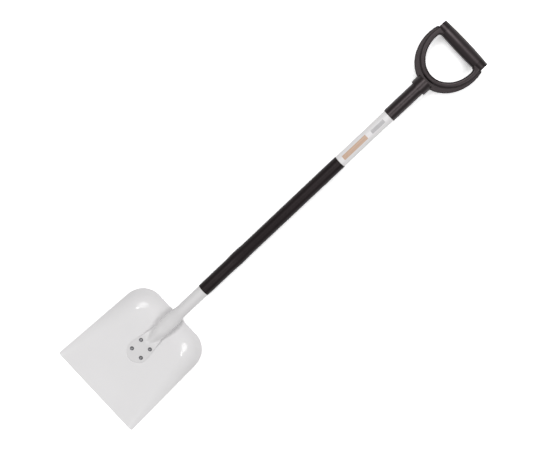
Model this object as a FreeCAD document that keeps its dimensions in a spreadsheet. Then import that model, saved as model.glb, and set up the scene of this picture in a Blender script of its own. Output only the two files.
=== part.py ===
import FreeCAD, Part
import Sketcher
import math
import os
from FreeCAD import Placement, Rotation, Vector

# A square-mouth shovel with a riveted tube shaft and a D grip, lying face up.
# The blade frame has X across the blade, Y from its front edge to its rear edge
# and Z off its flat face. The grip frame starts at the shaft's bend, with Y along
# the upper shaft. The resting tilt places both in the part's own frame.

sizes = {
    # blade: a pressed steel pan
    "bladeLength": 280.5,
    "bladeFrontWidth": 264.0,
    "bladeRearWidth": 246.8,
    "rearCornerRadius": 60.0,
    "frontCornerRadius": 4.0,
    "sheetThickness": 1.5,
    "rearWallRun": 54.5,
    "baseFrontWidth": 219.0,
    "baseRearWidth": 142.0,
    "baseCornerRadius": 20.0,
    "wallBendRadius": 60.0,
    "wallSlope": 52.0,
    # shaft: an aluminium tube, pressed flat at its lower end
    "tubeDiameter": 32.0,
    "tubeWall": 1.8,
    "shaftRise": 29.5,
    "bendAngle": 5.0,
    "bendRadius": 400.0,
    "bendSwell": 1.0,
    "bendSpan": 36.0,
    "rimClearance": 0.4,
    "rimToBend": 209.6,
    "bendToTubeEnd": 600.0,
    "tongueBeyondTube": 26.0,
    "tongueShoulder": 0.1,
    "tongueBendRadius": 57.5,
    # rivets through the tongue and the blade
    "tipToRivets": 22.4,
    "rivetsToBend": 5.3524,
    "rivetPitchAlong": 31.7,
    "rivetPitchAcross": 33.0,
    "rivetDiameter": 4.8,
    "rivetHeadDiameter": 10.4,
    "rivetHeadHeight": 1.7,
    "rivetRimHeight": 0.6,
    "rivetDomeDiameter": 6.1,
    "rivetTailDiameter": 7.2,
    "rivetTailLength": 5.0,
    "rivetClearance": 0.05,
    "mandrelDiameter": 2.6,
    "mandrelSunk": 0.8,
    "mandrelBulbDiameter": 4.2,
    "mandrelBulbHeight": 1.3,
    # sleeve and label on the shaft
    "sleeveWall": 0.85,
    "sleeveClearance": 0.1,
    "sleeveBelowBend": 122.8,
    "labelRun": 162.7,
    "labelThickness": 0.15,
    "labelMargin": 0.5,
    "labelClearance": 0.02,
    # D grip
    "socketDepth": 85.5,
    "socketWall": 1.6,
    "socketClearance": 0.15,
    "socketRounding": 1.1,
    "tubeToCollar": 7.9,
    "collarStep": 4.4,
    "collarLength": 26.6,
    "collarToBow": 106.9,
    "bowWidth": 159.6,
    "bowReach": 91.5,
    "bowToOpening": 7.1,
    "openingWidth": 118.6,
    "openingReach": 69.0,
    "openingOverlap": 1.0,
    "openingCornerRadius": 6.0,
    "bowThickness": 21.0,
    "bowRounding": 6.3,
    "ridgeWidth": 14.2,
    "ridgeThickness": 28.0,
    "ridgeRounding": 4.8,
    "grooveDepth": 2.6,
    "lipWidth": 1.3,
    "bowToBar": 35.4,
    "barLength": 143.6,
    "barDiameter": 35.4,
    "barEndDiameter": 30.8,
    "bossWidth": 19.0,
    "coreDiameter": 27.0,
    "coreBore": 21.0,
    "coverClearance": 0.05,
    "plugLength": 12.0,
    "plugClearance": 0.1,
    # screw at the back of the socket
    "screwToTubeEnd": 40.0,
    "screwDiameter": 4.2,
    "screwLength": 11.0,
    "screwHeadDiameter": 8.4,
    "screwHeadHeight": 2.6,
    "screwRecess": 0.9,
    "screwClearance": 0.05,
    "screwHeadClearance": 0.2,
}

# Places that follow from the sizes above, counted along the blade or up the shaft.
places = {
    "baseLength": "bladeLength - rearWallRun",
    "tongueWidth": "tubeDiameter + tongueBeyondTube",
    "socketDiameter": "tubeDiameter + socketWall * 2",
    "collarDiameter": "socketDiameter + collarStep * 2",
    "socketStart": "bendToTubeEnd - socketDepth",
    "sleeveAboveBend": "socketStart - labelRun",
    "screwPlace": "bendToTubeEnd - screwToTubeEnd",
    "collarStart": "bendToTubeEnd + tubeToCollar",
    "bowCentre": "collarStart + collarToBow",
    "openingCentre": "bowCentre + bowToOpening",
    "barCentre": "bowCentre + bowToBar",
}
cells = {**sizes, **{name: "=" + rule for name, rule in places.items()}}

doc = FreeCAD.newDocument("Shovel")
sheet = doc.addObject("Spreadsheet::Sheet", "Sizes")
for row, (name, value) in enumerate(cells.items(), start=1):
    sheet.set("A%d" % row, name)
    sheet.set("B%d" % row, str(value))
    sheet.setAlias("B%d" % row, name)
doc.recompute()


def linked(expression):
    """The expression with each size named as a cell of the sheet."""
    result = ""
    word = ""
    for letter in expression + " ":
        if letter.isalnum():
            word += letter
            continue
        result += ("Sizes." + word if word in cells else word) + letter
        word = ""
    return result.strip()


def value(expression):
    return float(sheet.evalExpression(linked(expression)))


def bind(target, **links):
    for prop, expression in links.items():
        target.setExpression(prop, linked(expression))


# The pan's wall is an arc off the flat base, then a straight slope up to the rim.
slope = math.radians(value("wallSlope"))
wallRun = value("bladeLength - baseLength")
bendRun = value("wallBendRadius") * math.sin(slope)
bendHeight = value("wallBendRadius") * (1 - math.cos(slope))
rimHeight = bendHeight + (wallRun - bendRun) * math.tan(slope)

# The lower shaft's axis clears the rim, and meets the upper axis at the bend.
rise = math.radians(value("shaftRise"))
bendTurn = math.radians(value("bendAngle"))
tubeRadius = value("tubeDiameter / 2")
axisAtRim = rimHeight + tubeRadius / math.cos(rise) + value("rimClearance")
rimPoint = Vector(0, value("bladeLength"), axisAtRim)
lowerWay = Vector(0, math.cos(rise), math.sin(rise))
upperWay = Vector(0, math.cos(rise + bendTurn), math.sin(rise + bendTurn))
bendPoint = rimPoint + lowerWay * value("rimToBend")
halfBend = value("bendRadius") * bendTurn / 2
bendReach = value("bendRadius") * math.tan(bendTurn / 2)
bendMiddleWay = Vector(0, math.cos(rise + bendTurn / 2), math.sin(rise + bendTurn / 2))
bendInward = Vector(0, -bendMiddleWay.z, bendMiddleWay.y)
bendAxis = bendPoint + bendInward * (value("bendRadius") / math.cos(bendTurn / 2))

# It rests on the heel of the blade and on the outside of the bend.
heelAxis = Vector(0, value("baseLength"), value("wallBendRadius"))
heelRadius = value("wallBendRadius + sheetThickness")
sleeveRadius = value("tubeDiameter / 2 + sleeveClearance + sleeveWall")
bendOuterRadius = value("bendRadius") + sleeveRadius
reach = bendAxis - heelAxis
tilt = math.atan2(reach.z, reach.y) - math.asin((bendOuterRadius - heelRadius) / reach.Length)
turn = Rotation(Vector(1, 0, 0), -math.degrees(tilt))
frontEdge = turn.multVec(Vector(0, 0, -value("sheetThickness")))
barAxis = turn.multVec(bendPoint + upperWay * value("barCentre"))
middle = (frontEdge.y + barAxis.y + value("barDiameter / 2")) / 2
bladeFrame = Placement(Vector(0, -middle, heelRadius - turn.multVec(heelAxis).z), turn)
riseTurn = Rotation(Vector(1, 0, 0), math.degrees(rise))
lowerFrame = bladeFrame.multiply(Placement(bendPoint, riseTurn))
gripTurn = Rotation(Vector(1, 0, 0), math.degrees(rise + bendTurn))
gripFrame = bladeFrame.multiply(Placement(bendPoint, gripTurn))

alongY = Rotation(Vector(1, 0, 0), -90)
alongX = Rotation(Vector(0, 1, 0), 90)
upright = Rotation()
facingDown = Rotation(Vector(1, 0, 0), 180)


# Small helpers for document objects.

def cylinder(name, radius, height, frame, base, way):
    item = doc.addObject("Part::Cylinder", name)
    bind(item, Radius=radius, Height=height)
    item.Placement = frame.multiply(Placement(base, way))
    return item


def cone(name, lower, upper, height, frame, base, way):
    item = doc.addObject("Part::Cone", name)
    bind(item, Radius1=lower, Radius2=upper, Height=height)
    item.Placement = frame.multiply(Placement(base, way))
    return item


def box(name, length, width, height, frame, base):
    item = doc.addObject("Part::Box", name)
    bind(item, Length=length, Width=width, Height=height)
    item.Placement = frame.multiply(Placement(base, upright))
    return item


def fuse(name, items):
    item = doc.addObject("Part::MultiFuse", name)
    item.Shapes = items
    item.Refine = True
    return item


def cut(name, base, tool):
    item = doc.addObject("Part::Cut", name)
    item.Base = base
    item.Tool = tool
    return item


def common(name, base, tool):
    item = doc.addObject("Part::MultiCommon", name)
    item.Shapes = [base, tool]
    return item


def plane(body, role):
    return next(item for item in body.Origin.OriginFeatures if item.Role == role)


def newBody(name, frame):
    body = doc.addObject("PartDesign::Body", name)
    body.Placement = frame
    return body


def newSketch(body, name, role="XY_Plane"):
    sketch = body.newObject("Sketcher::SketchObject", name)
    sketch.AttachmentSupport = [(plane(body, role), "")]
    sketch.MapMode = "FlatFace"
    return sketch


def dimension(sketch, kind, places, expression):
    """A driving dimension whose value is an expression of the sheet."""
    index = sketch.addConstraint(Sketcher.Constraint(kind, *places, value(expression)))
    sketch.setExpression("Constraints[%d]" % index, linked(expression))


def roundedTrapezium(sketch, ends, halfWidths, radii):
    """A trapezium across X with rounded corners. ends and radii are (front, rear)
    expressions; halfWidths are two (Y, half width) pairs that its sides pass through."""
    (yOne, halfOne), (yTwo, halfTwo) = halfWidths
    lean = (value(halfTwo) - value(halfOne)) / (value(yTwo) - value(yOne))
    corners = []
    for end in ends:
        half = value(halfOne) + lean * (value(end) - value(yOne))
        corners.append(Vector(half, value(end), 0))
    loop = [corners[0], corners[1], Vector(-corners[1].x, corners[1].y, 0),
            Vector(-corners[0].x, corners[0].y, 0)]
    loopRadii = [radii[0], radii[1], radii[1], radii[0]]
    starts = []
    finishes = []
    centres = []
    for index, corner in enumerate(loop):
        before = (loop[index - 1] - corner).normalize()
        after = (loop[(index + 1) % 4] - corner).normalize()
        halfAngle = before.getAngle(after) / 2
        radius = value(loopRadii[index])
        starts.append(corner + before * (radius / math.tan(halfAngle)))
        finishes.append(corner + after * (radius / math.tan(halfAngle)))
        centres.append(corner + (before + after).normalize() * (radius / math.sin(halfAngle)))
    for index in range(4):
        sketch.addGeometry(Part.LineSegment(finishes[index], starts[(index + 1) % 4]))
    for index in range(4):
        middleWay = (loop[index] - centres[index]).normalize()
        crown = centres[index] + middleWay * value(loopRadii[index])
        sketch.addGeometry(Part.Arc(starts[index], crown, finishes[index]))
        arc = 4 + index
        arcStart = 1 if arcStartsAt(sketch, arc, starts[index]) else 2
        previous = (index + 3) % 4
        sketch.addConstraint(Sketcher.Constraint("Tangent", previous, 2, arc, arcStart))
        sketch.addConstraint(Sketcher.Constraint("Tangent", arc, 3 - arcStart, index, 1))
        dimension(sketch, "Radius", (arc,), loopRadii[index])
    for line, sign in ((0, 1), (2, -1)):
        for place, half in halfWidths:
            point = sketch.addGeometry(Part.Point(Vector(sign * value(half), value(place), 0)), True)
            across = half if sign > 0 else "-(%s)" % half
            dimension(sketch, "DistanceX", (-1, 1, point, 1), across)
            dimension(sketch, "DistanceY", (-1, 1, point, 1), place)
            sketch.addConstraint(Sketcher.Constraint("PointOnObject", point, 1, line))
    for line, end in ((1, ends[1]), (3, ends[0])):
        sketch.addConstraint(Sketcher.Constraint("Horizontal", line))
        dimension(sketch, "DistanceY", (-1, 1, line, 1), end)


def arcStartsAt(sketch, arc, point):
    return (sketch.getPoint(arc, 1) - point).Length < 0.001


def edgesWhere(shape, test):
    return [index + 1 for index, edge in enumerate(shape.Edges) if test(edge)]


# Blade: a block with the pan's underside, less one with its inside, trimmed to the
# outline of the rim. Both blocks have the wall's slope and its bend.

def panBlock(name, bendRadius, drop):
    body = newBody(name, bladeFrame)
    sketch = newSketch(body, name + "Base")
    bind(sketch, **{".AttachmentOffset.Base.z": "-(%s)" % drop})
    corner = "(%s) * tan(wallSlope / 2)" % bendRadius
    lean = "(baseFrontWidth - baseRearWidth) / 2 / baseLength"
    sideCorner = "%s * sqrt(1 + (%s) ^ 2)" % (corner, lean)
    sideAt = (("0", "baseFrontWidth / 2 + " + sideCorner),
              ("baseLength", "baseRearWidth / 2 + " + sideCorner))
    radius = "baseCornerRadius + " + corner
    roundedTrapezium(sketch, ("-bladeLength / 2", "baseLength + " + corner), sideAt, (radius, radius))
    pad = body.newObject("PartDesign::Pad", name + "Pad")
    pad.Profile = sketch
    bind(pad, Length="bladeLength / 4 + " + drop, TaperAngle="90 - wallSlope")
    doc.recompute()
    floor = -value(drop) + 0.001
    bottom = edgesWhere(pad.Shape, lambda edge: max(v.Z for v in edge.Vertexes) < floor)
    fillet = body.newObject("PartDesign::Fillet", name + "Bend")
    fillet.Base = (pad, ["Edge%d" % index for index in bottom])
    bind(fillet, Radius=bendRadius)
    body.Tip = fillet
    return body


def makeBlade():
    outside = panBlock("panOutside", "wallBendRadius + sheetThickness", "sheetThickness")
    inside = panBlock("panInside", "wallBendRadius", "0")
    pan = cut("pan", outside, inside)
    prism = newBody("rimPrism", bladeFrame)
    rim = newSketch(prism, "rimOutline")
    sideAt = (("0", "bladeFrontWidth / 2"), ("bladeLength", "bladeRearWidth / 2"))
    roundedTrapezium(rim, ("0", "bladeLength"), sideAt, ("frontCornerRadius", "rearCornerRadius"))
    pad = prism.newObject("PartDesign::Pad", "rimPad")
    pad.Profile = rim
    pad.SideType = "Symmetric"
    bind(pad, Length="bladeLength / 2.5")
    prism.Tip = pad
    trimmed = common("trimmedPan", pan, prism)
    return cut("blade", trimmed, rivetShanks("bladeHole", "rivetClearance"))


def rivetPlaces():
    for across in (0.5, -0.5):
        for along in (0, 1):
            x = value("rivetPitchAcross") * across
            yield Vector(x, rivetFront + value("rivetPitchAlong") * along, 0)


def rivetShanks(name, clearance):
    """Cylinders for the four rivet holes through the tongue and the blade."""
    shanks = []
    for number, place in enumerate(rivetPlaces(), start=1):
        base = place - Vector(0, 0, value("bladeLength / 10"))
        radius = "rivetDiameter / 2 + " + clearance
        shanks.append(cylinder("%s%d" % (name, number), radius, "bladeLength / 5", bladeFrame, base, upright))
    return fuse(name + "s", shanks)


# Shaft: round runs with a bend between them, and a lower end pressed flat.

def bendPlace(along):
    """Point and direction of the shaft's axis in the blade frame, by the distance
    along it from the middle of the bend."""
    if along < -halfBend:
        return bendPoint - lowerWay * (bendReach - halfBend - along), rise
    if along > halfBend:
        return bendPoint + upperWay * (bendReach - halfBend + along), rise + bendTurn
    angle = rise + bendTurn / 2 + along / value("bendRadius")
    inward = Vector(0, -math.sin(angle), math.cos(angle))
    return bendAxis - inward * value("bendRadius"), angle


def roundShaft(name, radius, below, above):
    """A round bar around the shaft's axis, wider across X at the bend."""
    rings = []
    for step in range(-3, 4):
        point, angle = bendPlace(value("bendSpan") * step / 3)
        swell = math.cos(math.pi * step / 6) ** 2
        ring = doc.addObject("Part::Ellipse", "%sRing%d" % (name, step + 4))
        bind(ring, MajorRadius="%s + bendSwell * %s" % (radius, swell), MinorRadius=radius)
        facing = Rotation(Vector(1, 0, 0), math.degrees(angle) - 90)
        ring.Placement = bladeFrame.multiply(Placement(point, facing))
        rings.append(ring)
    bend = doc.addObject("Part::Loft", name + "Bend")
    bend.Sections = rings
    bend.Solid = True
    straight = bendReach - halfBend
    lower = cylinder(name + "Lower", radius, "%s - bendSpan - %s" % (below, straight), lowerFrame,
                     Vector(0, -value(below), 0), alongY)
    upper = cylinder(name + "Upper", radius, "%s - bendSpan - %s" % (above, straight), gripFrame,
                     Vector(0, value("bendSpan") + straight, 0), alongY)
    return fuse(name, [lower, bend, upper])


# The pressed end's axis leaves the tongue's middle plane in an arc and joins the
# lower axis. Places along it count from the start of that arc.
tongueMiddle = value("tubeWall")
axisMeetsTongue = rimPoint.y - (rimPoint.z - tongueMiddle) / math.tan(rise)
pressedArc = value("tongueBendRadius") * rise
pressedReach = value("tongueBendRadius") * math.tan(rise / 2)
pressedStart = axisMeetsTongue - pressedReach

# The rivets stand in front of that bend, and the tongue's tip in front of them.
rivetFront = pressedStart - value("rivetsToBend + rivetPitchAlong")
tongueTip = rivetFront - value("tipToRivets")


def pressedPlace(along):
    if along <= 0:
        return Vector(0, pressedStart + along, tongueMiddle), 0.0
    if along >= pressedArc:
        corner = Vector(0, axisMeetsTongue, tongueMiddle)
        return corner + lowerWay * (pressedReach + along - pressedArc), rise
    angle = along / value("tongueBendRadius")
    radius = value("tongueBendRadius")
    way = Vector(0, radius * math.sin(angle), tongueMiddle + radius * (1 - math.cos(angle)))
    return Vector(0, pressedStart, 0) + way, angle


# Each station of the pressed end: place along its axis, half width of the flanks,
# half width of the raised ridge, its height above and depth below the axis, both
# counted from the flanks, the flanks' share of the flat tongue's thickness, and the
# ridge's fullness, from 2 for a fold to 0.5 for a round tube.
stations = (
    (-4.0, 26.3, 6.0, 0.0, 0.0, 0.97, 2.0),
    (-1.1, 25.6, 6.0, 0.3, 0.0, 0.97, 2.0),
    (6.9, 24.3, 8.6, 2.6, 0.2, 0.97, 1.8),
    (16.4, 22.4, 12.4, 6.0, 0.9, 0.95, 1.5),
    (27.6, 19.9, 15.0, 8.9, 2.6, 0.85, 1.15),
    (38.8, 18.2, 16.8, 11.0, 5.6, 0.6, 0.85),
    (51.9, 18.6, 18.3, 11.4, 8.6, 0.3, 0.65),
    (67.7, 19.6, 19.6, 11.6, 10.4, 0.1, 0.55),
    (88.6, 20.3, 20.3, 12.2, 11.9, 0.0, 0.5),
    (113.8, 17.1, 17.1, 15.1, 15.1, 0.0, 0.5),
    (128.7, 16.0, 16.0, 16.0, 16.0, 0.0, 0.5),
    (136.8, 16.0, 16.0, 16.0, 16.0, 0.0, 0.5),
)
tubeScale = tubeRadius / stations[-1][1]
roundShare = 0.999
sectionPoints = 56


def pressedSection(station, wall):
    """A closed curve around the pressed end at a station, or around its hollow
    when wall is more than nothing."""
    along, flankHalf, ridgeHalf, height, depth, flankShare, fullness = station
    scale = tubeScale * roundShare
    flank = value("tubeWall") * flankShare
    if wall:
        flankHalf = ridgeHalf = ridgeHalf - wall * (1 + flankShare) / tubeScale
        height += (flank - wall) / tubeScale
        depth += (flank - wall) / tubeScale
        flank = 0.0
    points = []
    for index in range(sectionPoints):
        angle = 2 * math.pi * index / sectionPoints
        x = flankHalf * math.cos(angle)
        share = max(0.0, 1 - (x / ridgeHalf) ** 2) ** fullness
        edge = math.sqrt(1 - math.cos(angle) ** 24)
        if math.sin(angle) >= 0:
            points.append(Vector(x * scale, 0, flank * edge + height * scale * share))
        else:
            points.append(Vector(x * scale, 0, -flank * edge - depth * scale * share))
    curve = Part.BSplineCurve()
    curve.interpolate(points, PeriodicFlag=True)
    place, angle = pressedPlace(along * tubeScale)
    wire = Part.Wire(curve.toShape())
    wire.Placement = Placement(place, Rotation(Vector(1, 0, 0), math.degrees(angle)))
    return wire


def pressedEnd(name, first, wall):
    loft = doc.addObject("Part::Feature", name)
    sections = [pressedSection(station, wall) for station in stations[first:]]
    loft.Shape = Part.makeLoft(sections, True)
    loft.Placement = bladeFrame
    return loft


def tonguePlate():
    body = newBody("tonguePlate", bladeFrame)
    sketch = newSketch(body, "tongueOutline")
    radius = value("tongueWidth / 2")
    centre = Vector(0, tongueTip + radius, 0)
    endY = pressedStart + stations[0][0] * tubeScale
    half = (stations[0][1] + value("tongueShoulder")) * tubeScale
    lean = math.atan2(radius - half, endY - centre.y)
    touch = Vector(radius * math.cos(lean), radius * math.sin(lean), 0) + centre
    left = Vector(-touch.x, touch.y, 0)
    tip = Vector(0, tongueTip, 0)
    sketch.addGeometry(Part.Arc(left, tip, touch))
    sketch.addGeometry(Part.LineSegment(touch, Vector(half, endY, 0)))
    sketch.addGeometry(Part.LineSegment(Vector(half, endY, 0), Vector(-half, endY, 0)))
    sketch.addGeometry(Part.LineSegment(Vector(-half, endY, 0), left))
    pad = body.newObject("PartDesign::Pad", "tonguePad")
    pad.Profile = sketch
    bind(pad, Length="tubeWall * 2")
    body.Tip = pad
    return body


def makeTube():
    below = "%s" % (bendPoint - pressedPlace(stations[-1][0] * tubeScale)[0]).Length
    outer = fuse("tubeOutside", [
        tonguePlate(),
        pressedEnd("pressedOutside", 0, 0.0),
        roundShaft("tubeRound", "tubeDiameter / 2", below, "bendToTubeEnd"),
    ])
    inner = fuse("tubeInside", [
        pressedEnd("pressedInside", 3, value("tubeWall")),
        roundShaft("tubeBore", "tubeDiameter / 2 - tubeWall", below, "bendToTubeEnd + tubeWall"),
    ])
    hollow = cut("hollowTube", outer, inner)
    holes = fuse("tubeHoles", [rivetShanks("tongueHole", "rivetClearance"), screwSpace("tubeScrewSpace")])
    return cut("shaft_tube", hollow, holes)


def makeSleeve():
    bore = "tubeDiameter / 2 + sleeveClearance"
    outside = roundShaft("sleeveOutside", bore + " + sleeveWall", "sleeveBelowBend", "sleeveAboveBend")
    inside = roundShaft("sleeveBore", bore, "sleeveBelowBend + 1", "sleeveAboveBend + 1")
    return cut("shaft_sleeve", outside, inside)


def makeLabel():
    start = Vector(0, value("sleeveAboveBend + labelMargin"), 0)
    length = "socketStart - sleeveAboveBend - labelMargin * 2"
    bore = "tubeDiameter / 2 + labelClearance"
    outside = cylinder("labelOutside", bore + " + labelThickness", length, gripFrame, start, alongY)
    inside = cylinder("labelInside", bore, length, gripFrame, start, alongY)
    return cut("label_film", outside, inside)


# Rivets: each body has a head on the tongue and a tail under the blade, and its
# mandrel stays in it.

def makeRivets():
    bodies = []
    mandrels = []
    top = value("tubeWall * 2")
    bottom = -value("sheetThickness")
    for number, place in enumerate(rivetPlaces(), start=1):
        above = place + Vector(0, 0, top)
        below = place + Vector(0, 0, bottom)
        name = "rivet%d" % number
        rim = cylinder(name + "Rim", "rivetHeadDiameter / 2", "rivetRimHeight", bladeFrame, above, upright)
        domeBase = above + Vector(0, 0, value("rivetRimHeight"))
        dome = cone(name + "Dome", "rivetHeadDiameter / 2", "rivetDomeDiameter / 2",
                    "rivetHeadHeight - rivetRimHeight", bladeFrame, domeBase, upright)
        shank = cylinder(name + "Shank", "rivetDiameter / 2", "tubeWall * 2 + sheetThickness", bladeFrame,
                         below, upright)
        tail = cone(name + "Tail", "rivetTailDiameter / 2", "rivetDiameter / 2", "rivetTailLength",
                    bladeFrame, below, facingDown)
        solid = fuse(name + "Solid", [rim, dome, shank, tail])
        floor = below - Vector(0, 0, value("rivetTailLength"))
        height = "rivetTailLength + sheetThickness + tubeWall * 2 + rivetHeadHeight"
        bore = cylinder(name + "Bore", "mandrelDiameter / 2 + rivetClearance", height, bladeFrame, floor,
                        upright)
        bodies.append(cut(name + "Body", solid, bore))
        stem = cylinder(name + "Stem", "mandrelDiameter / 2", height + " - mandrelSunk", bladeFrame, floor,
                        upright)
        bulbBase = floor - Vector(0, 0, value("mandrelBulbHeight"))
        bulb = cylinder(name + "Bulb", "mandrelBulbDiameter / 2", "mandrelBulbHeight", bladeFrame, bulbBase,
                        upright)
        mandrels.append(fuse(name + "Mandrel", [stem, bulb]))
    for label, items in (("rivet_bodies", bodies), ("rivet_mandrels", mandrels)):
        group = doc.addObject("Part::Compound", label)
        group.Links = items


# D grip: a socket and collar on the tube, a bow with a raised inner ridge and a
# groove along its outer band, and a hollow bar between two end bosses.

def disc(name, width, reach, thickness, centre):
    """A slab with an elliptical outline in the grip's middle plane."""
    outline = doc.addObject("Part::Ellipse", name + "Outline")
    bind(outline, MajorRadius="max((%s) / 2; %s)" % (width, reach),
         MinorRadius="min((%s) / 2; %s)" % (width, reach))
    quarter = 90 if value(reach) > value(width) / 2 else 0
    facing = Rotation(Vector(0, 0, 1), quarter)
    outline.Placement = gripFrame.multiply(Placement(Vector(0, value(centre), 0), facing))
    slab = doc.addObject("Part::Extrusion", name)
    slab.Base = outline
    slab.DirMode = "Normal"
    slab.Solid = True
    slab.Symmetric = True
    bind(slab, LengthFwd=thickness)
    return slab


def rounded(name, base, radius, test):
    """Fillet the edges of base whose middle point, in the grip frame, passes test."""
    doc.recompute()
    toGrip = gripFrame.inverse()

    def chosen(edge):
        middle = edge.valueAt((edge.FirstParameter + edge.LastParameter) / 2)
        return test(edge, toGrip.multVec(middle))

    fillet = doc.addObject("Part::Fillet", name)
    fillet.Base = base
    fillet.Edges = [(index, radius, radius) for index in edgesWhere(base.Shape, chosen)]
    return fillet


def curved(edge):
    return not isinstance(edge.Curve, Part.Line)


def onBow(point):
    across = point.x / value("bowWidth / 2")
    along = (point.y - value("bowCentre")) / value("bowReach")
    return abs(math.hypot(across, along) - 1) < 0.01


def inMiddle(point):
    return abs(point.z) < 0.1


def handOpening():
    """The hand opening: an ellipse closed by a straight top with rounded corners."""
    oval = disc("openingOval", "openingWidth", "openingReach", "ridgeThickness * 2", "openingCentre")
    top = "barCentre - barDiameter / 2 + openingOverlap"
    below = box("belowBar", "openingWidth * 2", "openingReach * 4", "ridgeThickness * 4", gripFrame,
                Vector(-value("openingWidth"), value(top + " - openingReach * 4"),
                       -value("ridgeThickness * 2")))
    dShape = common("openingShape", oval, below)
    return rounded("handOpening", dShape, value("openingCornerRadius"),
                   lambda edge, point: inMiddle(point))


def makeGrip():
    opening = handOpening()
    band = cut("bowBand", disc("bowSlab", "bowWidth", "bowReach", "bowThickness", "bowCentre"), opening)
    roundBand = rounded("bowBandRound", band, value("bowRounding"),
                        lambda edge, point: curved(edge) and onBow(point))
    ring = cut("grooveRing",
               disc("grooveOutside", "bowWidth - lipWidth * 4", "bowReach - lipWidth * 2",
                    "bowThickness * 2", "bowCentre"),
               disc("grooveInside", "openingWidth + ridgeWidth * 2", "openingReach + ridgeWidth",
                    "bowThickness * 3", "openingCentre"))
    web = box("grooveWeb", "bowWidth * 2", "bowReach * 4", "bowThickness - grooveDepth * 2", gripFrame,
              Vector(-value("bowWidth"), value("bowCentre - bowReach * 2"),
                     -value("bowThickness / 2 - grooveDepth")))
    grooved = cut("groovedBand", roundBand, cut("grooves", ring, web))
    ridge = cut("ridgeRing", disc("ridgeSlab", "openingWidth + ridgeWidth * 2", "openingReach + ridgeWidth",
                                  "ridgeThickness", "openingCentre"), opening)
    roundRidge = rounded("ridgeRound", ridge, value("ridgeRounding"),
                         lambda edge, point: not inMiddle(point))
    behindBar = box("behindBar", "barLength - bossWidth * 2", "bowReach * 2", "bowThickness * 4", gripFrame,
                    Vector(-value("barLength / 2 - bossWidth"), value("openingCentre"),
                           -value("bowThickness * 2")))
    pastBar = box("pastBar", "bowWidth * 2", "bowReach * 2", "bowThickness * 4", gripFrame,
                  Vector(-value("bowWidth"), value("barCentre"), -value("bowThickness * 2")))
    bow = cut("bow", fuse("bowRing", [grooved, roundRidge]), fuse("bowEnds", [behindBar, pastBar]))

    socketPlain = cylinder("socketPlain", "socketDiameter / 2", "collarStart - socketStart", gripFrame,
                           Vector(0, value("socketStart"), 0), alongY)
    socket = rounded("socket", socketPlain, value("socketRounding"),
                     lambda edge, point: curved(edge) and point.y < value("socketStart") + 1)
    collar = cylinder("collar", "collarDiameter / 2", "collarLength", gripFrame,
                      Vector(0, value("collarStart"), 0), alongY)
    bosses = common("barEnds", barrel("bossBarrel"), bossSpace())
    core = cylinder("barCore", "coreDiameter / 2", "barLength - bossWidth", gripFrame,
                    Vector(-value("barLength - bossWidth") / 2, value("barCentre"), 0), alongX)
    solid = fuse("gripSolid", [socket, collar, bow, bosses, core])
    tubeSeat = cylinder("tubeSeat", "tubeDiameter / 2 + socketClearance",
                        "bendToTubeEnd + socketClearance - socketStart + 1", gripFrame,
                        Vector(0, value("socketStart") - 1, 0), alongY)
    coreHole = cylinder("coreHole", "coreBore / 2", "barLength * 2", gripFrame,
                        Vector(-value("barLength"), value("barCentre"), 0), alongX)
    hollows = fuse("gripHollows", [tubeSeat, coreHole, screwSpace("socketScrewSpace")])
    return cut("grip_frame", solid, hollows)


def bossSpace():
    sides = []
    for side in (-1, 1):
        near = value("barLength / 2 - bossWidth")
        start = near if side > 0 else -near - value("barLength")
        sides.append(box("bossSpace%s" % ("Right" if side > 0 else "Left"), "barLength", "barDiameter * 2",
                         "barDiameter * 2", gripFrame,
                         Vector(start, value("barCentre - barDiameter"), -value("barDiameter"))))
    return fuse("bossSpaces", sides)


def barrel(name):
    """The bar's crowned outside, along X about its own axis."""
    body = newBody(name, gripFrame.multiply(Placement(Vector(0, value("barCentre"), 0), upright)))
    sketch = newSketch(body, name + "Profile")
    half = value("barLength / 2")
    end = value("barEndDiameter / 2")
    crown = value("barDiameter / 2")
    sketch.addGeometry(Part.LineSegment(Vector(-half, 0, 0), Vector(half, 0, 0)))
    sketch.addGeometry(Part.LineSegment(Vector(half, 0, 0), Vector(half, end, 0)))
    sketch.addGeometry(Part.Arc(Vector(half, end, 0), Vector(0, crown, 0), Vector(-half, end, 0)))
    sketch.addGeometry(Part.LineSegment(Vector(-half, end, 0), Vector(-half, 0, 0)))
    revolve = body.newObject("PartDesign::Revolution", name + "Turned")
    revolve.Profile = sketch
    revolve.ReferenceAxis = (sketch, ["H_Axis"])
    revolve.Angle = 360
    body.Tip = revolve
    return body


def makeCover():
    length = "barLength - bossWidth * 2 - coverClearance * 2"
    half = value(length) / 2
    space = box("coverSpace", length, "barDiameter * 2", "barDiameter * 2", gripFrame,
                Vector(-half, value("barCentre - barDiameter"), -value("barDiameter")))
    shape = common("coverBarrel", barrel("coverOutside"), space)
    bore = cylinder("coverBore", "coreDiameter / 2 + coverClearance", "barLength * 2", gripFrame,
                    Vector(-value("barLength"), value("barCentre"), 0), alongX)
    return cut("bar_cover", shape, bore)


def makePlugs():
    outside = value("barLength / 2")
    for label, start in (("bar_plug_left", -outside), ("bar_plug_right", outside - value("plugLength"))):
        cylinder(label, "coreBore / 2 - plugClearance", "plugLength", gripFrame,
                 Vector(start, value("barCentre"), 0), alongX)


# Screw at the back of the socket, into the tube.

def screwPart(name, radius, height, depth):
    seat = value("socketDiameter / 2 - screwRecess")
    base = Vector(0, value("screwPlace"), -seat - depth)
    return cylinder(name, radius, height, gripFrame, base, upright)


def screwSpace(name):
    shank = screwPart(name + "Shank", "screwDiameter / 2 + screwClearance", "screwLength", 0)
    head = screwPart(name + "Head", "screwHeadDiameter / 2 + screwHeadClearance", "screwHeadHeight",
                     value("screwHeadHeight"))
    return fuse(name, [shank, head])


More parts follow.
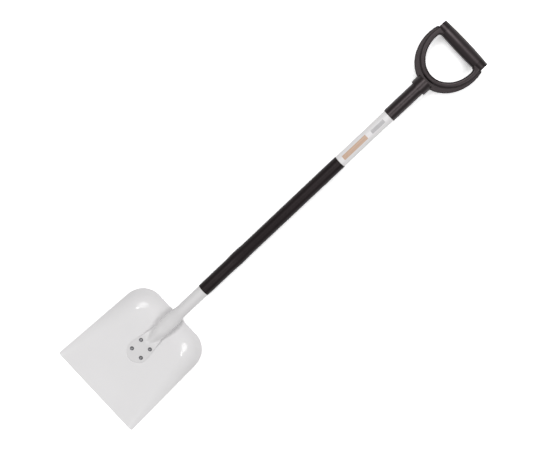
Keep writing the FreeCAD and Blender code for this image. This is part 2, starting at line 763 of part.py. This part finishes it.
def makeScrew():
    shank = screwPart("screwShank", "screwDiameter / 2", "screwLength", 0)
    head = screwPart("screwHead", "screwHeadDiameter / 2", "screwHeadHeight", value("screwHeadHeight"))
    return fuse("grip_screw", [shank, head])


def makeParts():
    makeBlade()
    makeTube()
    makeSleeve()
    makeLabel()
    makeRivets()
    makeGrip()
    makeCover()
    makePlugs()
    makeScrew()
    doc.recompute()


def writeParts():
    for item in doc.Objects:
        if "Invalid" in item.State or "Error" in item.State:
            raise RuntimeError("%s failed to build" % item.Name)
    os.makedirs("parts", exist_ok=True)
    for name, count in solidsOf.items():
        shape = doc.getObject(name).Shape
        if shape.isNull() or not shape.isValid() or len(shape.Solids) != count:
            raise RuntimeError("%s isn't %d valid solids" % (name, count))
        shape.exportStep("parts/%s.step" % name)
        print("%-16s %d %10.1f mm3" % (name, count, shape.Volume))


solidsOf = {
    "blade": 1,
    "shaft_tube": 1,
    "shaft_sleeve": 1,
    "label_film": 1,
    "rivet_bodies": 4,
    "rivet_mandrels": 4,
    "grip_frame": 1,
    "bar_cover": 1,
    "bar_plug_left": 1,
    "bar_plug_right": 1,
    "grip_screw": 1,
}

makeParts()
writeParts()
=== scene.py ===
import math
import bpy
from mathutils import Euler, Matrix, Vector

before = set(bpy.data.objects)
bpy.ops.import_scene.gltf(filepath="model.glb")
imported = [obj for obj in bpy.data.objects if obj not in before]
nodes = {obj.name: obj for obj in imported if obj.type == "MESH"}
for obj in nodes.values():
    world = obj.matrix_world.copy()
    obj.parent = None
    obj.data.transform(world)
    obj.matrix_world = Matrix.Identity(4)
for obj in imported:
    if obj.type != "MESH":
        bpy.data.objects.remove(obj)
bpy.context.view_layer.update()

scene = bpy.context.scene

# Camera: high above the shaft, a little behind it, turned so that the grip is at the upper right.
cameraSetup = {
    "place": (0.0201, 0.3584, 2.5242),
    "turn": (-5.661, 6.526, 46.459),
    "lens": 66.4,
    "sensor": 36.0,
}


def makeCamera(setup):
    data = bpy.data.cameras.new("camera")
    data.lens = setup["lens"]
    data.sensor_width = setup["sensor"]
    camera = bpy.data.objects.new("camera", data)
    camera.location = setup["place"]
    camera.rotation_euler = Euler([math.radians(angle) for angle in setup["turn"]])
    scene.collection.objects.link(camera)
    scene.camera = camera


makeCamera(cameraSetup)
scene.view_settings.view_transform = "Standard"
print("camera placed")


# Helpers for node trees. Sockets go by name, except where several share one: the inputs of a Math
# node are counted, and the colour sockets of a Mix node are these.
mixColour = {"first": 6, "second": 7, "result": 2}


def addNode(tree, kind, place=(0, 0), **settings):
    node = tree.nodes.new(kind)
    node.location = place
    for name, setting in settings.items():
        setattr(node, name, setting)
    return node


def feed(tree, source, target, socket, output=0):
    tree.links.new(source.outputs[output], target.inputs[socket])


def newGroup(name, inputs, outputs):
    group = bpy.data.node_groups.new(name, "ShaderNodeTree")
    for label, kind, default in inputs:
        socket = group.interface.new_socket(label, in_out="INPUT", socket_type=kind)
        socket.default_value = default
    for label, kind in outputs:
        group.interface.new_socket(label, in_out="OUTPUT", socket_type=kind)
    given = addNode(group, "NodeGroupInput", (-900, 0))
    result = addNode(group, "NodeGroupOutput", (600, 0))
    return group, given, result


def feedPlace(tree, *targets):
    place = addNode(tree, "ShaderNodeTexCoord", (-900, -200))
    for target in targets:
        feed(tree, place, target, "Vector", "Object")


def greyTone(level):
    return (level, level, level, 1)


# What the coat and the mould group both put out.
finishOutputs = (
    ("Colour", "NodeSocketColor"),
    ("Roughness", "NodeSocketFloat"),
    ("Height", "NodeSocketFloat"),
)


def finishGroup(group, given, result, slow, fine, pattern):
    # The slow pattern blends the two tones and the two gloss values. The fine one is the height.
    blend = addNode(group, "ShaderNodeMapRange", (-250, -100))
    blend.inputs["From Min"].default_value = pattern["shadeFrom"]
    blend.inputs["From Max"].default_value = pattern["shadeTo"]
    feed(group, slow, blend, "Value")
    tone = addNode(group, "ShaderNodeMix", (50, 0), data_type="RGBA")
    feed(group, blend, tone, "Factor")
    feed(group, given, tone, mixColour["first"], "Colour")
    feed(group, given, tone, mixColour["second"], "Shade")
    gloss = addNode(group, "ShaderNodeMapRange", (50, -250))
    feed(group, slow, gloss, "Value")
    feed(group, given, gloss, "To Min", "Gloss Low")
    feed(group, given, gloss, "To Max", "Gloss High")
    feed(group, tone, result, "Colour", mixColour["result"])
    feed(group, gloss, result, "Roughness")
    feed(group, fine, result, "Height")


# Powder coat: a fine orange peel, and broad soft changes of tone and gloss.
coatPattern = {
    "peelDetail": 2.0,
    "broadScale": 9.0,
    "broadDetail": 3.0,
    "shadeFrom": 0.35,
    "shadeTo": 0.7,
}


def makePaintGroup(pattern):
    group, given, result = newGroup(
        "powderCoat",
        [("Colour", "NodeSocketColor", (0.8, 0.8, 0.8, 1)),
         ("Shade", "NodeSocketColor", (0.7, 0.7, 0.7, 1)),
         ("Grain Scale", "NodeSocketFloat", 700.0),
         ("Gloss Low", "NodeSocketFloat", 0.25),
         ("Gloss High", "NodeSocketFloat", 0.32)],
        finishOutputs)
    peel = addNode(group, "ShaderNodeTexNoise", (-500, 200))
    peel.inputs["Detail"].default_value = pattern["peelDetail"]
    feed(group, given, peel, "Scale", "Grain Scale")
    broad = addNode(group, "ShaderNodeTexNoise", (-500, -100))
    broad.inputs["Scale"].default_value = pattern["broadScale"]
    broad.inputs["Detail"].default_value = pattern["broadDetail"]
    feedPlace(group, peel, broad)
    finishGroup(group, given, result, broad, peel, pattern)
    return group


# Moulded plastic: a fine spark-eroded grain with faint flow marks.
mouldPattern = {
    "flowScale": 30.0,
    "flowDetail": 4.0,
    "flowDistortion": 0.6,
    "shadeFrom": 0.4,
    "shadeTo": 0.75,
}


def makeMouldGroup(pattern):
    group, given, result = newGroup(
        "mouldGrain",
        [("Colour", "NodeSocketColor", (0.02, 0.02, 0.02, 1)),
         ("Shade", "NodeSocketColor", (0.04, 0.04, 0.04, 1)),
         ("Grain Scale", "NodeSocketFloat", 1500.0),
         ("Gloss Low", "NodeSocketFloat", 0.4),
         ("Gloss High", "NodeSocketFloat", 0.55)],
        finishOutputs)
    grain = addNode(group, "ShaderNodeTexVoronoi", (-500, 250))
    feed(group, given, grain, "Scale", "Grain Scale")
    flow = addNode(group, "ShaderNodeTexNoise", (-500, -50))
    flow.inputs["Scale"].default_value = pattern["flowScale"]
    flow.inputs["Detail"].default_value = pattern["flowDetail"]
    flow.inputs["Distortion"].default_value = pattern["flowDistortion"]
    feedPlace(group, grain, flow)
    finishGroup(group, given, result, flow, grain, pattern)
    return group


paintGroup = makePaintGroup(coatPattern)
mouldGroup = makeMouldGroup(mouldPattern)


def newMaterial(name, recipe):
    material = bpy.data.materials.new(name)
    material.use_nodes = True
    tree = material.node_tree
    shader = tree.nodes["Principled BSDF"]
    shader.inputs["Metallic"].default_value = recipe.get("metallic", 0.0)
    shader.inputs["Specular IOR Level"].default_value = recipe.get("specular", 0.5)
    shader.inputs["Specular Tint"].default_value = (*recipe.get("tint", (1, 1, 1)), 1)
    material.diffuse_color = (*recipe["colour"], 1)
    return material, tree, shader


def coatedMaterial(name, group, recipe):
    material, tree, shader = newMaterial(name, recipe)
    effect = addNode(tree, "ShaderNodeGroup", (-600, 0), node_tree=group)
    effect.inputs["Colour"].default_value = (*recipe["colour"], 1)
    effect.inputs["Shade"].default_value = (*recipe["shade"], 1)
    effect.inputs["Grain Scale"].default_value = recipe["grainScale"]
    effect.inputs["Gloss Low"].default_value = recipe["gloss"][0]
    effect.inputs["Gloss High"].default_value = recipe["gloss"][1]
    feed(tree, effect, shader, "Base Color", "Colour")
    feed(tree, effect, shader, "Roughness", "Roughness")
    bump = addNode(tree, "ShaderNodeBump", (-250, -300))
    bump.inputs["Strength"].default_value = recipe["bump"]
    bump.inputs["Distance"].default_value = recipe["depth"]
    feed(tree, effect, bump, "Height", "Height")
    feed(tree, bump, shader, "Normal")
    return material


def dress(name, material):
    node = nodes[name]
    node.data.materials.clear()
    node.data.materials.append(material)


bladePaint = {
    "colour": (0.820, 0.810, 0.815),
    "shade": (0.805, 0.795, 0.800),
    "grainScale": 620.0,
    "gloss": (0.12, 0.15),
    "bump": 0.1,
    "depth": 0.0001,
    "specular": 0.45,
}
tubePaint = {
    "colour": (0.735, 0.725, 0.728),
    "shade": (0.715, 0.705, 0.708),
    "grainScale": 760.0,
    "gloss": (0.34, 0.42),
    "bump": 0.2,
    "depth": 0.0002,
}
sleevePlastic = {
    "colour": (0.0062, 0.0042, 0.0045),
    "shade": (0.0085, 0.0060, 0.0064),
    "grainScale": 900.0,
    "gloss": (0.34, 0.42),
    "bump": 0.1,
    "depth": 0.0003,
    "specular": 0.26,
    "tint": (1.0, 0.86, 0.89),
}
gripPlastic = {
    "colour": (0.0048, 0.0034, 0.0036),
    "shade": (0.0072, 0.0052, 0.0055),
    "grainScale": 1400.0,
    "gloss": (0.3, 0.36),
    "bump": 0.1,
    "depth": 0.0003,
    "specular": 0.5,
    "tint": (1.0, 0.86, 0.89),
}
coverPlastic = {
    "colour": (0.0070, 0.0050, 0.0054),
    "shade": (0.0095, 0.0070, 0.0075),
    "grainScale": 1100.0,
    "gloss": (0.28, 0.34),
    "bump": 0.1,
    "depth": 0.0003,
    "specular": 0.72,
    "tint": (1.0, 0.86, 0.89),
}
dress("blade", coatedMaterial("bladePaint", paintGroup, bladePaint))
dress("shaft_tube", coatedMaterial("tubePaint", paintGroup, tubePaint))
dress("shaft_sleeve", coatedMaterial("sleevePlastic", mouldGroup, sleevePlastic))
dress("grip_frame", coatedMaterial("gripPlastic", mouldGroup, gripPlastic))
dress("bar_cover", coatedMaterial("coverPlastic", mouldGroup, coverPlastic))
plugPlastic = coatedMaterial("plugPlastic", mouldGroup, gripPlastic)
dress("bar_plug_left", plugPlastic)
dress("bar_plug_right", plugPlastic)

# Label: pale film with one orange and one grey bar in place of printed words.
labelFilm = {
    **tubePaint,
    "colour": (0.830, 0.815, 0.820),
    "shade": (0.810, 0.795, 0.800),
    "gloss": (0.2, 0.26),
    "bump": 0.05,
    "printAbove": 0.02,  # the film climbs past this, so its upper end is printed below as well
    "bars": (
        {"ink": (0.60, 0.41, 0.30), "centre": (0.0, 0.2565), "half": (0.0062, 0.0385)},
        {"ink": (0.50, 0.49, 0.50), "centre": (0.0010, 0.3310), "half": (0.0048, 0.0205)},
    ),
}


def makeBarGroup():
    group, given, result = newGroup(
        "printedBar",
        [("Paper", "NodeSocketColor", (0.8, 0.8, 0.8, 1)),
         ("Ink", "NodeSocketColor", (0.5, 0.5, 0.5, 1)),
         ("Centre X", "NodeSocketFloat", 0.0),
         ("Centre Y", "NodeSocketFloat", 0.0),
         ("Half X", "NodeSocketFloat", 0.005),
         ("Half Y", "NodeSocketFloat", 0.02),
         ("Above", "NodeSocketFloat", 0.0)],
        [("Colour", "NodeSocketColor")])
    split = addNode(group, "ShaderNodeSeparateXYZ", (-700, -200))
    feedPlace(group, split)
    inside = []
    for step, axis in enumerate(("X", "Y")):
        within = addNode(group, "ShaderNodeMath", (-450, -200 * step), operation="COMPARE")
        feed(group, split, within, 0, axis)
        feed(group, given, within, 1, "Centre " + axis)
        feed(group, given, within, 2, "Half " + axis)
        inside.append(within)
    above = addNode(group, "ShaderNodeMath", (-450, -450), operation="GREATER_THAN")
    feed(group, split, above, 0, "Z")
    feed(group, given, above, 1, "Above")
    both = addNode(group, "ShaderNodeMath", (-200, -100), operation="MULTIPLY")
    feed(group, inside[0], both, 0)
    feed(group, inside[1], both, 1)
    printed = addNode(group, "ShaderNodeMath", (0, -200), operation="MULTIPLY")
    feed(group, both, printed, 0)
    feed(group, above, printed, 1)
    tone = addNode(group, "ShaderNodeMix", (250, 0), data_type="RGBA")
    feed(group, printed, tone, "Factor")
    feed(group, given, tone, mixColour["first"], "Paper")
    feed(group, given, tone, mixColour["second"], "Ink")
    feed(group, tone, result, "Colour", mixColour["result"])
    return group


def printedMaterial(name, recipe):
    material = coatedMaterial(name, paintGroup, recipe)
    tree = material.node_tree
    shader = tree.nodes["Principled BSDF"]
    paper = shader.inputs["Base Color"].links[0].from_socket
    barGroup = makeBarGroup()
    for step, bar in enumerate(recipe["bars"]):
        effect = addNode(tree, "ShaderNodeGroup", (-350, 250 + 250 * step), node_tree=barGroup)
        tree.links.new(paper, effect.inputs["Paper"])
        effect.inputs["Ink"].default_value = (*bar["ink"], 1)
        effect.inputs["Above"].default_value = recipe["printAbove"]
        for axis, centre, half in zip(("X", "Y"), bar["centre"], bar["half"]):
            effect.inputs["Centre " + axis].default_value = centre
            effect.inputs["Half " + axis].default_value = half
        paper = effect.outputs["Colour"]
    tree.links.new(paper, shader.inputs["Base Color"])
    return material


dress("label_film", printedMaterial("labelFilm", labelFilm))

rivetMetal = {
    "colour": (0.21, 0.21, 0.22),
    "shade": (0.15, 0.15, 0.16),
    "grainScale": 2500.0,
    "gloss": (0.28, 0.42),
    "bump": 0.3,
    "depth": 0.0001,
    "metallic": 1.0,
}
mandrelMetal = {**rivetMetal, "colour": (0.82, 0.81, 0.82), "shade": (0.74, 0.73, 0.74)}
screwMetal = {**rivetMetal, "colour": (0.5, 0.5, 0.5)}
dress("rivet_bodies", coatedMaterial("rivetMetal", paintGroup, rivetMetal))
dress("rivet_mandrels", coatedMaterial("mandrelMetal", paintGroup, mandrelMetal))
dress("grip_screw", coatedMaterial("screwMetal", paintGroup, screwMetal))
print("materials made")

# Studio: a pale floor that shows white, an even sky, two long softboxes and two small round lamps.
studio = {
    "floorSize": 14.0,
    "floorColour": 0.8,
    "floorSeen": 2.0,
    "floorMirrored": 0.3,  # share of the seen tone that shows in gloss and glass
    "sky": (0.325, 0.34),  # strength at the horizon and overhead
    "skySeen": 1.0,
    "skyMirrored": 0.15,
    "lamps": (
        {"name": "leftSoftbox",
         "towards": (-0.29, 0.14, 0.947), "size": (2.8, 5.2), "power": 262.0},
        {"name": "rightSoftbox",
         "towards": (0.40, 0.13, 0.907), "size": (3.6, 5.0), "power": 195.0},
        {"name": "leftLamp",
         "towards": (-0.31, 0.47, 0.826), "size": (0.9, 0.9), "power": 50.0},
        {"name": "rightLamp",
         "towards": (0.345, 0.465, 0.815), "size": (0.9, 0.9), "power": 42.0},
    ),
    "aim": (0.0, 0.0, 0.05),
    "far": 9.0,
}


def seenFactor(tree, mirroredShare):
    path = addNode(tree, "ShaderNodeLightPath", (-1000, 300))
    mirrored = addNode(tree, "ShaderNodeMath", (-800, 150), operation="MAXIMUM")
    feed(tree, path, mirrored, 0, "Is Glossy Ray")
    feed(tree, path, mirrored, 1, "Is Transmission Ray")
    share = addNode(tree, "ShaderNodeMath", (-650, 150), operation="MULTIPLY")
    feed(tree, mirrored, share, 0)
    share.inputs[1].default_value = mirroredShare
    seen = addNode(tree, "ShaderNodeMath", (-500, 300), operation="MAXIMUM")
    feed(tree, path, seen, 0, "Is Camera Ray")
    feed(tree, share, seen, 1)
    return seen


def makeFloor(setup):
    half = setup["floorSize"] / 2
    mesh = bpy.data.meshes.new("floor")
    corners = [(-half, -half, 0), (half, -half, 0), (half, half, 0), (-half, half, 0)]
    mesh.from_pydata(corners, [], [(0, 1, 2, 3)])
    floor = bpy.data.objects.new("floor", mesh)
    scene.collection.objects.link(floor)
    material = bpy.data.materials.new("floorPaper")
    material.use_nodes = True
    tree = material.node_tree
    shader = tree.nodes["Principled BSDF"]
    shader.inputs["Roughness"].default_value = 1.0
    shader.inputs["Specular IOR Level"].default_value = 0.0
    seen = seenFactor(tree, setup["floorMirrored"])
    tone = addNode(tree, "ShaderNodeMix", (-200, 0), data_type="RGBA")
    tone.inputs[mixColour["first"]].default_value = greyTone(setup["floorColour"])
    tone.inputs[mixColour["second"]].default_value = greyTone(setup["floorSeen"])
    feed(tree, seen, tone, "Factor")
    feed(tree, tone, shader, "Base Color", mixColour["result"])
    mesh.materials.append(material)


def makeSky(setup):
    world = bpy.data.worlds.new("sky")
    world.use_nodes = True
    scene.world = world
    tree = world.node_tree
    light = tree.nodes["Background"]
    place = addNode(tree, "ShaderNodeTexCoord", (-900, 0))
    split = addNode(tree, "ShaderNodeSeparateXYZ", (-700, 0))
    feed(tree, place, split, "Vector", "Generated")
    fade = addNode(tree, "ShaderNodeMapRange", (-450, 0))
    fade.inputs["To Min"].default_value = setup["sky"][0]
    fade.inputs["To Max"].default_value = setup["sky"][1]
    feed(tree, split, fade, "Value", "Z")
    blend = addNode(tree, "ShaderNodeMix", (-200, 0), data_type="FLOAT")
    feed(tree, seenFactor(tree, setup["skyMirrored"]), blend, "Factor")
    feed(tree, fade, blend, "A")
    blend.inputs["B"].default_value = setup["skySeen"]
    feed(tree, blend, light, "Strength")
    light.inputs["Color"].default_value = greyTone(1)


def makeLamp(setup, aim, far):
    data = bpy.data.lights.new(setup["name"], "AREA")
    data.shape = "ELLIPSE"
    data.size, data.size_y = setup["size"]
    data.energy = setup["power"]
    lamp = bpy.data.objects.new(setup["name"], data)
    way = Vector(setup["towards"]).normalized()
    side = Vector((0, 1, 0)).cross(way).normalized()
    turn = Matrix((side, way.cross(side), way)).transposed()
    lamp.matrix_world = Matrix.Translation(Vector(aim) + way * far) @ turn.to_4x4()
    scene.collection.objects.link(lamp)


makeFloor(studio)
makeSky(studio)
for lampSetup in studio["lamps"]:
    makeLamp(lampSetup, studio["aim"], studio["far"])
print("studio lit")
